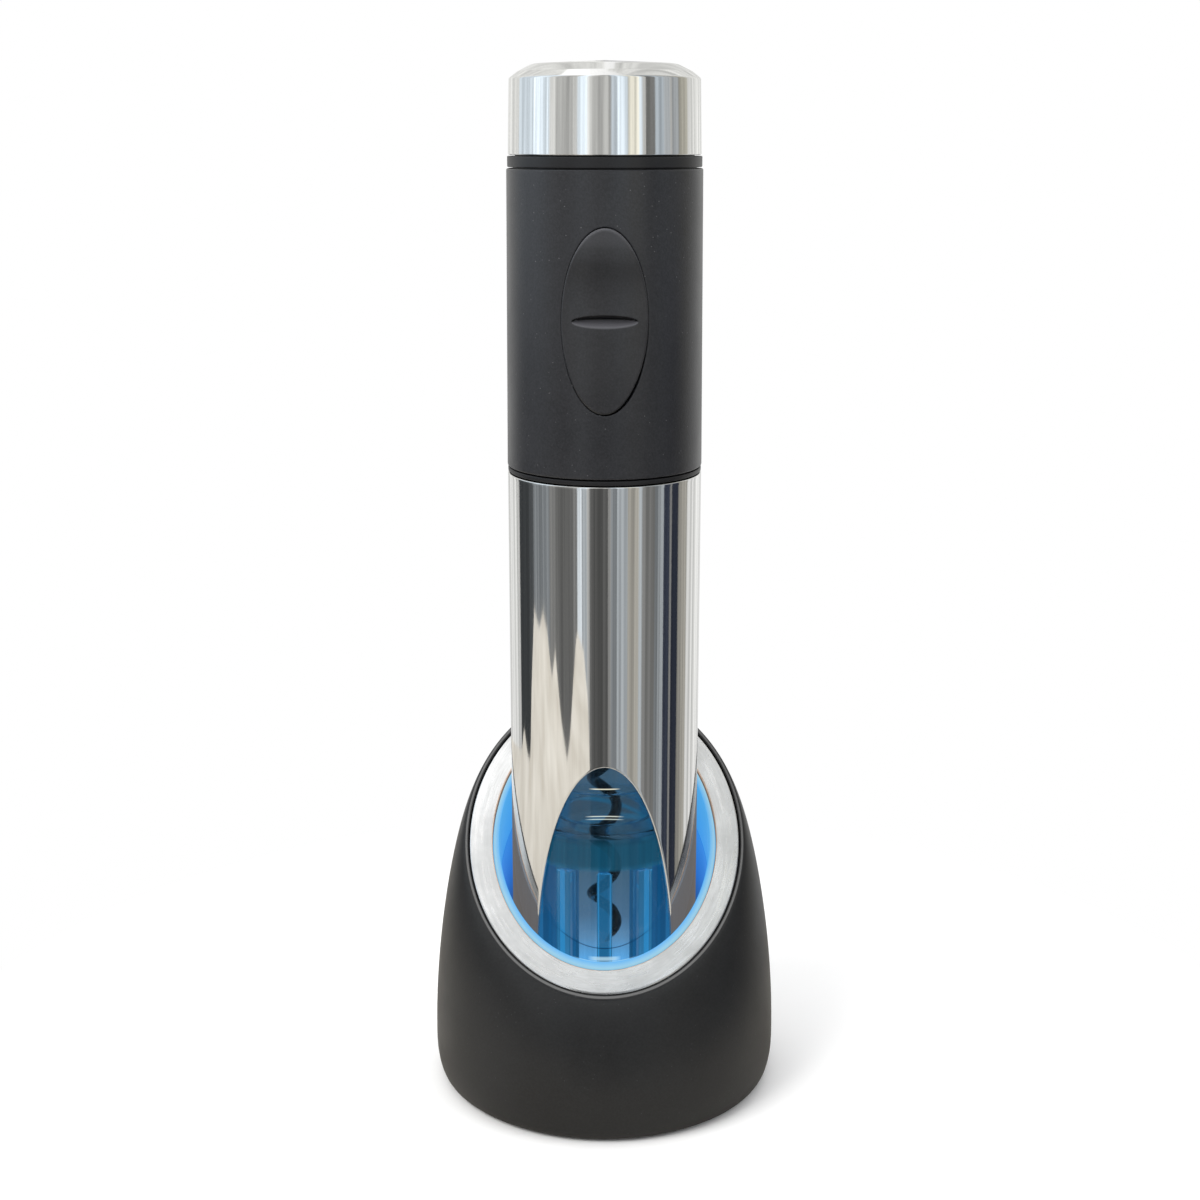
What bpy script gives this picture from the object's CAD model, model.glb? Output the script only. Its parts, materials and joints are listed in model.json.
import json
from math import pi, radians, tan

import bmesh
import bpy
import numpy as np
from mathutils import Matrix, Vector


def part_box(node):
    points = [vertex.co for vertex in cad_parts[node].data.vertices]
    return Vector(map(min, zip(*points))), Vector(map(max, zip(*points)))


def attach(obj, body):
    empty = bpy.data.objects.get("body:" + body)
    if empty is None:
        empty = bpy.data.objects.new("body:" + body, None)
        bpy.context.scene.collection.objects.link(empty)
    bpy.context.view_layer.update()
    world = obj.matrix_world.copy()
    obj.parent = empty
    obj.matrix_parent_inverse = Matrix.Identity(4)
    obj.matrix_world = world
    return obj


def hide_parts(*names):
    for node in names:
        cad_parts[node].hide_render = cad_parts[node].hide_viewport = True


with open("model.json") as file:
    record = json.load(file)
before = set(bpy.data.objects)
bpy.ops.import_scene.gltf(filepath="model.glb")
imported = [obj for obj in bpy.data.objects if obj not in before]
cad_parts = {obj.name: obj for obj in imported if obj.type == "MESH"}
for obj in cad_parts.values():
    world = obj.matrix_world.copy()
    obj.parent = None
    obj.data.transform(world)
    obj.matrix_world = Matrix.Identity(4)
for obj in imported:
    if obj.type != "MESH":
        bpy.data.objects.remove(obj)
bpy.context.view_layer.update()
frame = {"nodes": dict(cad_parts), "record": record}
mm = 0.001
rimZ = 68.2  # the rim plane's height on the axis
slantSlope = tan(radians(40))  # and its rise to the back
sideWiden = 0.032  # how much further out ring and lip stand at the sides than in front


def makePiece(name, points, faces, sharpAngle=32):
    mesh = bpy.data.meshes.new(name)
    mesh.from_pydata(np.asarray(points).reshape(-1, 3).tolist(), [], np.asarray(faces).tolist())
    work = bmesh.new()
    work.from_mesh(mesh)
    bmesh.ops.remove_doubles(work, verts=work.verts, dist=2e-7)
    bmesh.ops.dissolve_degenerate(work, edges=work.edges, dist=1e-8)
    work.to_mesh(mesh)
    work.free()
    mesh.shade_smooth()
    mesh.set_sharp_from_angle(angle=radians(sharpAngle))
    piece = bpy.data.objects.new(name, mesh)
    bpy.context.scene.collection.objects.link(piece)
    return piece


# quads of a grid, rows by columns; a wrapped direction joins its end to its start
def gridFaces(rows, columns, wrapRows=False, wrapColumns=False):
    i = np.arange(rows if wrapRows else rows - 1)[:, None]
    j = np.arange(columns if wrapColumns else columns - 1)[None, :]
    i2, j2 = (i + 1) % rows, (j + 1) % columns
    corners = (i * columns + j, i2 * columns + j, i2 * columns + j2, i * columns + j2)
    return np.stack(np.broadcast_arrays(*corners), -1).reshape(-1, 4)


# A profile whose corners are swapped for arcs. A corner is (r, z, radius, slant), the last two may be
# left out; the arc touches both sides of the corner, and slant runs evenly along it.
def softCorners(corners, closed=False, steps=7):
    full = [tuple(c) + (0,) * (4 - len(c)) for c in corners]
    parts = []
    for k, (r, z, radius, slant) in enumerate(full):
        here = np.array([r, z], float)
        if radius == 0 or (not closed and k in (0, len(full) - 1)):
            parts.append([[r, z, slant]])
            continue
        before, after = (np.array(full[n % len(full)][:2], float) for n in (k - 1, k + 1))
        toBefore, toAfter = before - here, after - here
        toBefore, toAfter = toBefore / np.linalg.norm(toBefore), toAfter / np.linalg.norm(toAfter)
        half = np.arccos(np.clip(toBefore @ toAfter, -1, 1)) / 2
        middle = (toBefore + toAfter) / np.linalg.norm(toBefore + toAfter)
        centre = here + middle * radius / np.sin(half)
        start, end = here + toBefore * radius / np.tan(half), here + toAfter * radius / np.tan(half)
        share = np.linspace(0, 1, steps)[:, None]
        spokes = (start - centre) * (1 - share) + (end - centre) * share
        spokes = spokes / np.linalg.norm(spokes, axis=1, keepdims=True) * radius
        parts.append(np.column_stack([centre + spokes, np.full(steps, float(slant))]))
    return np.vstack(parts)


# r, z and slant in millimetres swept round Z: x = r cos a, y = r sin a, z = z + slant * slope * y;
# move, where given, then takes the points somewhere else
def turned(name, profile, sides=192, ring=False, sharpAngle=32, move=None):
    profile = np.asarray(profile, float)
    if profile.shape[1] == 2:
        profile = np.column_stack([profile, np.zeros(len(profile))])
    a = (np.arange(sides) / sides * 2 * pi)[:, None]
    r, z, slant = profile.T[:, None, :] * np.array([mm, mm, 1])[:, None, None]
    x, y = r * np.cos(a), r * np.sin(a)
    points = np.stack([x, y, z + slant * slantSlope * y], -1)
    if move is not None:
        points = move(points)
    return makePiece(name, points, gridFaces(sides, profile.shape[0], True, ring), sharpAngle)


# how far a rounded edge of this radius has dropped at distance d from it
def edgeDrop(d, radius):
    inset = radius - np.clip(d, 0, radius)
    return radius - np.sqrt(radius ** 2 - inset ** 2)


# distance outside the ellipse x = a cos t, z = b sin t, to first order
def ellipseDistance(x, z, a, b):
    q = np.sqrt((x / a) ** 2 + (z / b) ** 2)
    steep = np.sqrt((x / a ** 2) ** 2 + (z / b ** 2) ** 2) / np.maximum(q, 1e-9)
    return (q - 1) / np.maximum(steep, 1e-9)


# A wall round Z in two mirrored halves. Its rows go up, and its columns run from the front opening to
# the back one at angle = front + share * (pi - back - front), so the grid follows the openings' edges.
# outside and inside turn (angle, row) into r and z, in millimetres.
def openWall(name, frontEdge, backEdge, share, outside, inside, sharpAngle=32, move=None):
    rows, columns = len(frontEdge), len(share)
    angle = frontEdge[:, None] + share[None, :] * (pi - backEdge - frontEdge)[:, None]
    sheets = []
    for sheet in (outside, inside):
        r, z = sheet(angle)
        sheets.append(np.stack([r * np.sin(angle), -r * np.cos(angle), z + 0 * angle], -1) * mm)
    points = np.concatenate([s.reshape(-1, 3) for s in sheets])
    if move is not None:
        points = move(points)
    outer = np.arange(rows)[:, None] * columns + np.arange(columns)[None, :]
    inner = outer + rows * columns

    def quad(*corners):
        return np.stack([corner.ravel() for corner in corners], -1)

    faces = [
        quad(outer[:-1, :-1], outer[:-1, 1:], outer[1:, 1:], outer[1:, :-1]),
        quad(inner[:-1, :-1], inner[1:, :-1], inner[1:, 1:], inner[:-1, 1:]),
        quad(outer[0, :-1], inner[0, :-1], inner[0, 1:], outer[0, 1:]),
        quad(outer[-1, :-1], outer[-1, 1:], inner[-1, 1:], inner[-1, :-1]),
    ]
    openFront = np.maximum(frontEdge[:-1], frontEdge[1:]) > 1e-6
    openBack = np.maximum(backEdge[:-1], backEdge[1:]) > 1e-6
    faces.append(quad(outer[:-1, 0], outer[1:, 0], inner[1:, 0], inner[:-1, 0])[openFront])
    faces.append(quad(outer[:-1, -1], inner[:-1, -1], inner[1:, -1], outer[1:, -1])[openBack])
    faces = np.concatenate(faces)
    mirrored = points * [-1, 1, 1]
    return makePiece(name, np.concatenate([points, mirrored]),
                     np.concatenate([faces, faces[:, ::-1] + len(points)]), sharpAngle)


# takes the cutters out of the piece
def drill(piece, *cutters):
    for cutter in cutters:
        hole = piece.modifiers.new("hole", "BOOLEAN")
        hole.operation, hole.solver, hole.object = "DIFFERENCE", "EXACT", cutter
    depsgraph = bpy.context.evaluated_depsgraph_get()
    drilled = bpy.data.meshes.new_from_object(piece.evaluated_get(depsgraph))
    piece.modifiers.clear()
    piece.data = drilled
    for cutter in cutters:
        bpy.data.objects.remove(cutter)


# a round wire: path is (n, 3), radius (n,); the section turns with the path's own frame
def sweptTube(name, path, radius, sides=20):
    tangent = np.gradient(path, axis=0)
    tangent /= np.linalg.norm(tangent, axis=1, keepdims=True)
    up = np.array([0, 0, 1.0])
    sideways = np.cross(tangent, up)
    flat = np.linalg.norm(sideways, axis=1, keepdims=True)
    sideways = np.where(flat > 1e-3, sideways / np.maximum(flat, 1e-9), [1.0, 0, 0])
    other = np.cross(sideways, tangent)
    a = (np.arange(sides) / sides * 2 * pi)[None, :, None]
    spokes = np.cos(a) * sideways[:, None, :] + np.sin(a) * other[:, None, :]
    points = path[:, None, :] + radius[:, None, None] * spokes
    return makePiece(name, points, gridFaces(len(path), sides, False, True)[:, ::-1])


def addSocket(group, name, kind, out=False, value=None):
    side = "OUTPUT" if out else "INPUT"
    socket = group.interface.new_socket(name=name, in_out=side, socket_type="NodeSocket" + kind)
    if value is not None:
        socket.default_value = value


def wire(tree, *pairs):
    for source, target in pairs:
        tree.links.new(source, target)


# a socket takes another's output, a number or a colour
def feed(tree, value, socket):
    if hasattr(value, "is_output"):
        tree.links.new(value, socket)
    else:
        socket.default_value = (*value, 1) if isinstance(value, tuple) else value


def mathNode(tree, operation, *values, clamp=False):
    node = tree.nodes.new("ShaderNodeMath")
    node.operation = operation
    node.use_clamp = clamp
    for socket, value in zip(node.inputs, values):
        feed(tree, value, socket)
    return node.outputs[0]


def spanNode(tree, value, low, high, toLow, toHigh, smooth=False):
    node = tree.nodes.new("ShaderNodeMapRange")
    if smooth:
        node.interpolation_type = "SMOOTHSTEP"
    names = ("Value", "From Min", "From Max", "To Min", "To Max")
    for socket, number in zip(names, (value, low, high, toLow, toHigh)):
        feed(tree, number, node.inputs[socket])
    return node.outputs[0]


def mixNode(tree, factor, a, b):
    node = tree.nodes.new("ShaderNodeMix")
    node.data_type = "RGBA"
    for socket, value in (("Factor", factor), ("A", a), ("B", b)):
        feed(tree, value, node.inputs[socket])
    return node.outputs["Result"]


def distanceFromAxis(tree, x, y):
    squares = (mathNode(tree, "MULTIPLY", x, x), mathNode(tree, "MULTIPLY", y, y))
    return mathNode(tree, "SQRT", mathNode(tree, "ADD", *squares))


# moulded grain: a fine noise for the bump and a broad one for tone
def makeGrainGroup():
    group = bpy.data.node_groups.new("mouldedGrain", "ShaderNodeTree")
    addSocket(group, "Vector", "Vector")
    addSocket(group, "Fine Scale", "Float", value=2500)
    addSocket(group, "Broad Scale", "Float", value=60)
    addSocket(group, "Grain", "Float", out=True)
    addSocket(group, "Tone", "Float", out=True)
    entry, leave = group.nodes.new("NodeGroupInput"), group.nodes.new("NodeGroupOutput")
    fine, broad = group.nodes.new("ShaderNodeTexNoise"), group.nodes.new("ShaderNodeTexNoise")
    fine.inputs["Detail"].default_value = 3
    broad.inputs["Detail"].default_value = 4
    broad.inputs["Roughness"].default_value = 0.6
    wire(group, (entry.outputs["Vector"], fine.inputs["Vector"]),
         (entry.outputs["Vector"], broad.inputs["Vector"]),
         (entry.outputs["Fine Scale"], fine.inputs["Scale"]),
         (entry.outputs["Broad Scale"], broad.inputs["Scale"]),
         (fine.outputs["Fac"], leave.inputs["Grain"]), (broad.outputs["Fac"], leave.inputs["Tone"]))
    return group


# small specks: the cores of a fine cell pattern, kept where a broad noise is high
def makeSpeckGroup():
    group = bpy.data.node_groups.new("dustSpecks", "ShaderNodeTree")
    addSocket(group, "Vector", "Vector")
    addSocket(group, "Scale", "Float", value=500)
    addSocket(group, "Size", "Float", value=0.12)
    addSocket(group, "Amount", "Float", value=0.5)
    addSocket(group, "Mask", "Float", out=True)
    entry, leave = group.nodes.new("NodeGroupInput"), group.nodes.new("NodeGroupOutput")
    cells, patches = group.nodes.new("ShaderNodeTexVoronoi"), group.nodes.new("ShaderNodeTexNoise")
    patches.inputs["Scale"].default_value = 90
    wire(group, (entry.outputs["Vector"], cells.inputs["Vector"]),
         (entry.outputs["Vector"], patches.inputs["Vector"]),
         (entry.outputs["Scale"], cells.inputs["Scale"]))
    core = mathNode(group, "LESS_THAN", cells.outputs["Distance"], entry.outputs["Size"])
    kept = mathNode(group, "GREATER_THAN", patches.outputs["Fac"], entry.outputs["Amount"])
    wire(group, (mathNode(group, "MULTIPLY", core, kept), leave.inputs["Mask"]))
    return group


# drawn or brushed metal: noise stretched along one direction by the Mapping in front of it
def makeBrushGroup():
    group = bpy.data.node_groups.new("brushedLines", "ShaderNodeTree")
    addSocket(group, "Vector", "Vector")
    addSocket(group, "Lines", "Float", out=True)
    addSocket(group, "Cloud", "Float", out=True)
    entry, leave = group.nodes.new("NodeGroupInput"), group.nodes.new("NodeGroupOutput")
    lines, cloud = group.nodes.new("ShaderNodeTexNoise"), group.nodes.new("ShaderNodeTexNoise")
    lines.inputs["Scale"].default_value = 1
    lines.inputs["Detail"].default_value = 5
    lines.inputs["Roughness"].default_value = 0.7
    cloud.inputs["Scale"].default_value = 0.06
    cloud.inputs["Detail"].default_value = 3
    wire(group, (entry.outputs["Vector"], lines.inputs["Vector"]),
         (entry.outputs["Vector"], cloud.inputs["Vector"]),
         (lines.outputs["Fac"], leave.inputs["Lines"]), (cloud.outputs["Fac"], leave.inputs["Cloud"]))
    return group


# lines turned round Z: noise over (radius, x / radius, y / radius), which has no seam
def makeTurnedGroup():
    group = bpy.data.node_groups.new("turnedLines", "ShaderNodeTree")
    addSocket(group, "Vector", "Vector")
    addSocket(group, "Across", "Float", value=4000)
    addSocket(group, "Around", "Float", value=8)
    addSocket(group, "Lines", "Float", out=True)
    addSocket(group, "Cloud", "Float", out=True)
    entry, leave = group.nodes.new("NodeGroupInput"), group.nodes.new("NodeGroupOutput")
    split, join = group.nodes.new("ShaderNodeSeparateXYZ"), group.nodes.new("ShaderNodeCombineXYZ")
    wire(group, (entry.outputs["Vector"], split.inputs[0]))
    x, y = split.outputs["X"], split.outputs["Y"]
    radius = distanceFromAxis(group, x, y)
    for source, target in ((x, "Y"), (y, "Z")):
        share = mathNode(group, "DIVIDE", source, radius)
        wire(group, (mathNode(group, "MULTIPLY", share, entry.outputs["Around"]), join.inputs[target]))
    wire(group, (mathNode(group, "MULTIPLY", radius, entry.outputs["Across"]), join.inputs["X"]))
    lines, cloud = group.nodes.new("ShaderNodeTexNoise"), group.nodes.new("ShaderNodeTexNoise")
    lines.inputs["Scale"].default_value = 1
    lines.inputs["Detail"].default_value = 5
    lines.inputs["Roughness"].default_value = 0.7
    cloud.inputs["Scale"].default_value = 0.4
    wire(group, (join.outputs[0], lines.inputs["Vector"]), (join.outputs[0], cloud.inputs["Vector"]),
         (lines.outputs["Fac"], leave.inputs["Lines"]), (cloud.outputs["Fac"], leave.inputs["Cloud"]))
    return group


# how far below the slanted rim plane, and how far out from Z
def makeSlantGroup():
    group = bpy.data.node_groups.new("belowTheRim", "ShaderNodeTree")
    addSocket(group, "Vector", "Vector")
    addSocket(group, "Depth", "Float", out=True)
    addSocket(group, "Radius", "Float", out=True)
    entry, leave = group.nodes.new("NodeGroupInput"), group.nodes.new("NodeGroupOutput")
    split = group.nodes.new("ShaderNodeSeparateXYZ")
    wire(group, (entry.outputs["Vector"], split.inputs[0]))
    x, y = split.outputs["X"], split.outputs["Y"]
    plane = mathNode(group, "ADD", mathNode(group, "MULTIPLY", y, slantSlope), rimZ * mm)
    radius = distanceFromAxis(group, x, y)
    wire(group, (mathNode(group, "SUBTRACT", plane, split.outputs["Z"]), leave.inputs["Depth"]),
         (radius, leave.inputs["Radius"]))
    return group


# a cloudy tone between two values, its noise stretched by three scales
def makeCloudGroup():
    group = bpy.data.node_groups.new("cloudyTone", "ShaderNodeTree")
    for name, kind in (("Vector", "Vector"), ("Stretch", "Vector"), ("Low", "Float"), ("High", "Float")):
        addSocket(group, name, kind)
    addSocket(group, "Tone", "Float", out=True)
    entry, leave = group.nodes.new("NodeGroupInput"), group.nodes.new("NodeGroupOutput")
    stretch, noise = group.nodes.new("ShaderNodeMapping"), group.nodes.new("ShaderNodeTexNoise")
    noise.inputs["Scale"].default_value = 1
    noise.inputs["Detail"].default_value = 3
    wire(group, (entry.outputs["Vector"], stretch.inputs["Vector"]),
         (entry.outputs["Stretch"], stretch.inputs["Scale"]), (stretch.outputs[0], noise.inputs["Vector"]))
    tone = spanNode(group, noise.outputs[0], 0.3, 0.7, entry.outputs["Low"], entry.outputs["High"])
    wire(group, (tone, leave.inputs["Tone"]))
    return group


# a card's tint and strength, which go from a low to a high one between two heights; clouds make the
# strength uneven
def makeCardGroup():
    group = bpy.data.node_groups.new("cardTone", "ShaderNodeTree")
    addSocket(group, "Vector", "Vector")
    for name in ("Foot", "Head", "Low", "High"):
        addSocket(group, name, "Float")
    for name in ("Low Tint", "High Tint"):
        addSocket(group, name, "Color")
    addSocket(group, "Tint", "Color", out=True)
    addSocket(group, "Strength", "Float", out=True)
    entry, leave = group.nodes.new("NodeGroupInput"), group.nodes.new("NodeGroupOutput")
    split, cloud = group.nodes.new("ShaderNodeSeparateXYZ"), group.nodes.new("ShaderNodeGroup")
    cloud.node_tree = cloudGroup
    cloud.inputs["Stretch"].default_value = (115, 115, 2.5)
    cloud.inputs["Low"].default_value, cloud.inputs["High"].default_value = 0.62, 1.36
    place, foot, head = (entry.outputs[name] for name in ("Vector", "Foot", "Head"))
    wire(group, (place, split.inputs[0]), (place, cloud.inputs["Vector"]))
    climb = spanNode(group, split.outputs["Z"], foot, head, entry.outputs["Low"], entry.outputs["High"], True)
    share = spanNode(group, split.outputs["Z"], foot, head, 0, 1)
    tint = mixNode(group, share, entry.outputs["Low Tint"], entry.outputs["High Tint"])
    strength = mathNode(group, "MULTIPLY", climb, cloud.outputs["Tone"])
    wire(group, (tint, leave.inputs["Tint"]), (strength, leave.inputs["Strength"]))
    return group


grainGroup, speckGroup, brushGroup = makeGrainGroup(), makeSpeckGroup(), makeBrushGroup()
turnedGroup, slantGroup, cloudGroup = makeTurnedGroup(), makeSlantGroup(), makeCloudGroup()
cardGroup = makeCardGroup()


class Finish:
    # one material: a Principled shader and the few nodes that most finishes here share
    def __init__(self, name, colour, roughness, metallic=0.0, **sockets):
        self.material = bpy.data.materials.new(name)
        self.material.use_nodes = True
        self.tree = self.material.node_tree
        self.shader = self.tree.nodes["Principled BSDF"]
        self.place = self.tree.nodes.new("ShaderNodeTexCoord").outputs["Object"]
        self.shader.inputs["Base Color"].default_value = (*colour, 1)
        self.shader.inputs["Roughness"].default_value = roughness
        self.shader.inputs["Metallic"].default_value = metallic
        for socket, value in sockets.items():
            self.shader.inputs[socket.replace("_", " ")].default_value = value

    def group(self, group, vector=None, **values):
        node = self.tree.nodes.new("ShaderNodeGroup")
        node.node_tree = group
        self.tree.links.new(self.place if vector is None else vector, node.inputs["Vector"])
        for socket, value in values.items():
            node.inputs[socket.replace("_", " ")].default_value = value
        return node.outputs

    def stretched(self, scale):
        node = self.tree.nodes.new("ShaderNodeMapping")
        node.inputs["Scale"].default_value = scale
        self.tree.links.new(self.place, node.inputs["Vector"])
        return node.outputs[0]

    def span(self, value, low, high, toLow, toHigh):
        return spanNode(self.tree, value, low, high, toLow, toHigh)

    def mix(self, factor, a, b):
        return mixNode(self.tree, factor, a, b)

    def colourFrom(self, factor, a, b):
        self.colourIs(self.mix(factor, a, b))

    def colourIs(self, colour):
        self.tree.links.new(colour, self.shader.inputs["Base Color"])

    def glowIs(self, colour):
        self.tree.links.new(colour, self.shader.inputs["Emission Color"])
        self.shader.inputs["Emission Strength"].default_value = 1.0

    def roughnessFrom(self, value, low, high):
        self.tree.links.new(self.span(value, 0.3, 0.7, low, high), self.shader.inputs["Roughness"])

    def bump(self, height, distance, strength):
        node = self.tree.nodes.new("ShaderNodeBump")
        node.inputs["Strength"].default_value = strength
        node.inputs["Distance"].default_value = distance
        self.tree.links.new(height, node.inputs["Height"])
        self.tree.links.new(node.outputs[0], self.shader.inputs["Normal"])


def times(colour, factor):
    return tuple(min(1.0, c * factor) for c in colour)


# the pale line on the stand's lip, in metres: each pair is where the tone starts and stops to fade
lipLine = {
    "radius": 0.0369, "width": (0.00018, 0.00034), "depth": (0.0005, 0.0009), "gap": (0.0364, 0.0366),
    "tone": (0.11, 0.11, 0.11),
}


# Grain shows as a fine lighter mottle, and dust as pale specks. With lean set, faces that look up are
# lighter and faces that look down darker. lip is how much wider than deep the stand's lip is: a pale
# line runs along it, and the gap inside it is black.
def mouldedPlastic(name, colour, roughness, grainDepth=0.00002, fineScale=2600, specular=0.4, dust=0.0,
                   mottle=0.12, lean=False, lip=0.0):
    finish = Finish(name, colour, roughness, Specular_IOR_Level=specular)
    tree = finish.tree
    grain = finish.group(grainGroup, Fine_Scale=fineScale, Broad_Scale=45)
    base = finish.mix(finish.span(grain["Tone"], 0.3, 0.7, 0, 1), times(colour, 0.85), times(colour, 1.18))
    base = finish.mix(finish.span(grain["Grain"], 0.35, 0.75, 0, mottle), base, times(colour, 3.0))
    if lean:
        facing = tree.nodes.new("ShaderNodeSeparateXYZ")
        tree.links.new(tree.nodes.new("ShaderNodeNewGeometry").outputs["Normal"], facing.inputs[0])
        base = finish.mix(finish.span(facing.outputs["Z"], 0.06, 0.7, 0, 1), base, times(colour, 6))
        base = finish.mix(finish.span(facing.outputs["Z"], -0.7, -0.1, 1, 0), base, times(colour, 0.1))
    if lip:
        under = finish.group(slantGroup, finish.stretched((1 / (1 + lip), 1, 1)))
        fromLine = mathNode(tree, "ABSOLUTE", mathNode(tree, "SUBTRACT", under["Radius"], lipLine["radius"]))
        onLine = mathNode(tree, "MULTIPLY", finish.span(fromLine, *lipLine["width"], 1, 0),
                          finish.span(under["Depth"], *lipLine["depth"], 1, 0))
        base = finish.mix(onLine, base, lipLine["tone"])
        base = finish.mix(finish.span(under["Radius"], *lipLine["gap"], 1, 0), base, (0.001, 0.001, 0.001))
    if dust:
        specks = finish.group(speckGroup, Scale=650, Size=0.085, Amount=0.5)
        base = finish.mix(finish.span(specks["Mask"], 0, 1, 0, dust), base, (0.20, 0.20, 0.21))
    finish.colourIs(base)
    finish.roughnessFrom(grain["Tone"], roughness - 0.05, roughness + 0.06)
    finish.bump(grain["Grain"], grainDepth, 0.6)
    return finish.material


# polished along its length: fine drawn lines and faint smudges in the gloss
def polishedSteel(name, colour=(0.80, 0.80, 0.79), roughness=0.055):
    finish = Finish(name, colour, roughness, 1.0)
    lines = finish.group(brushGroup, finish.stretched((2600, 2600, 14)))
    smudge = finish.group(grainGroup, Fine_Scale=900, Broad_Scale=35)
    finish.colourFrom(finish.span(lines["Lines"], 0.35, 0.65, 0, 1), times(colour, 0.96), times(colour, 1.03))
    finish.roughnessFrom(smudge["Tone"], roughness - 0.015, roughness + 0.03)
    finish.bump(lines["Lines"], 0.0000008, 0.5)
    return finish.material


# brushed round its axis, a little peach where the light guide shows in its inner edge
def brushedRing(name, colour=(0.95, 0.95, 0.94), roughness=0.30):
    finish = Finish(name, colour, roughness, 1.0)
    lines = finish.group(turnedGroup, Across=3200, Around=9)
    patches = finish.group(grainGroup, Fine_Scale=1200, Broad_Scale=55)
    radius = finish.group(slantGroup)["Radius"]
    tone = finish.mix(finish.span(lines["Lines"], 0.3, 0.7, 0, 1), times(colour, 0.86), times(colour, 1.08))
    tone = finish.mix(finish.span(patches["Tone"], 0.40, 0.60, 0, 0.8), tone, times(colour, 0.76))
    tone = finish.mix(finish.span(radius, 0.0310, 0.0312, 1, 0), tone, (1.0, 0.74, 0.58))
    finish.colourIs(tone)
    finish.roughnessFrom(lines["Cloud"], roughness - 0.08, roughness + 0.1)
    finish.bump(lines["Lines"], 0.000006, 0.5)
    return finish.material


# what lights up: its glow goes from the rim's tone to the deep one and dies away, all by depth under
# the rim; in the polished metal beside it the glow is only a dull warm grey
def glowingPlastic(name, colour, roughness, rimGlow, midGlow, deepGlow, depths):
    finish = Finish(name, colour, roughness)
    under = finish.group(slantGroup)
    inward = mathNode(finish.tree, "SUBTRACT", 0.0305, under["Radius"], clamp=True)
    depth = mathNode(finish.tree, "ADD", under["Depth"], mathNode(finish.tree, "MULTIPLY", inward, 1.6))
    grain = finish.group(grainGroup, Fine_Scale=700, Broad_Scale=120)
    glow = finish.mix(finish.span(depth, depths[0], depths[1], 0, 1), rimGlow, midGlow)
    glow = finish.mix(finish.span(depth, depths[1], depths[2], 0, 1), glow, deepGlow)
    glow = finish.mix(finish.span(grain["Tone"], 0.3, 0.8, 0, 0.2), glow, times(midGlow, 0.8))
    glow = finish.mix(finish.span(depth, depths[2], depths[3], 0, 1), glow, (0, 0, 0))
    path = finish.tree.nodes.new("ShaderNodeLightPath")
    glow = finish.mix(path.outputs["Is Glossy Ray"], glow, (0.15, 0.14, 0.135))
    finish.glowIs(glow)
    finish.roughnessFrom(grain["Tone"], roughness - 0.05, roughness + 0.1)
    finish.bump(grain["Grain"], 0.00001, 0.3)
    return finish.material


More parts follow.
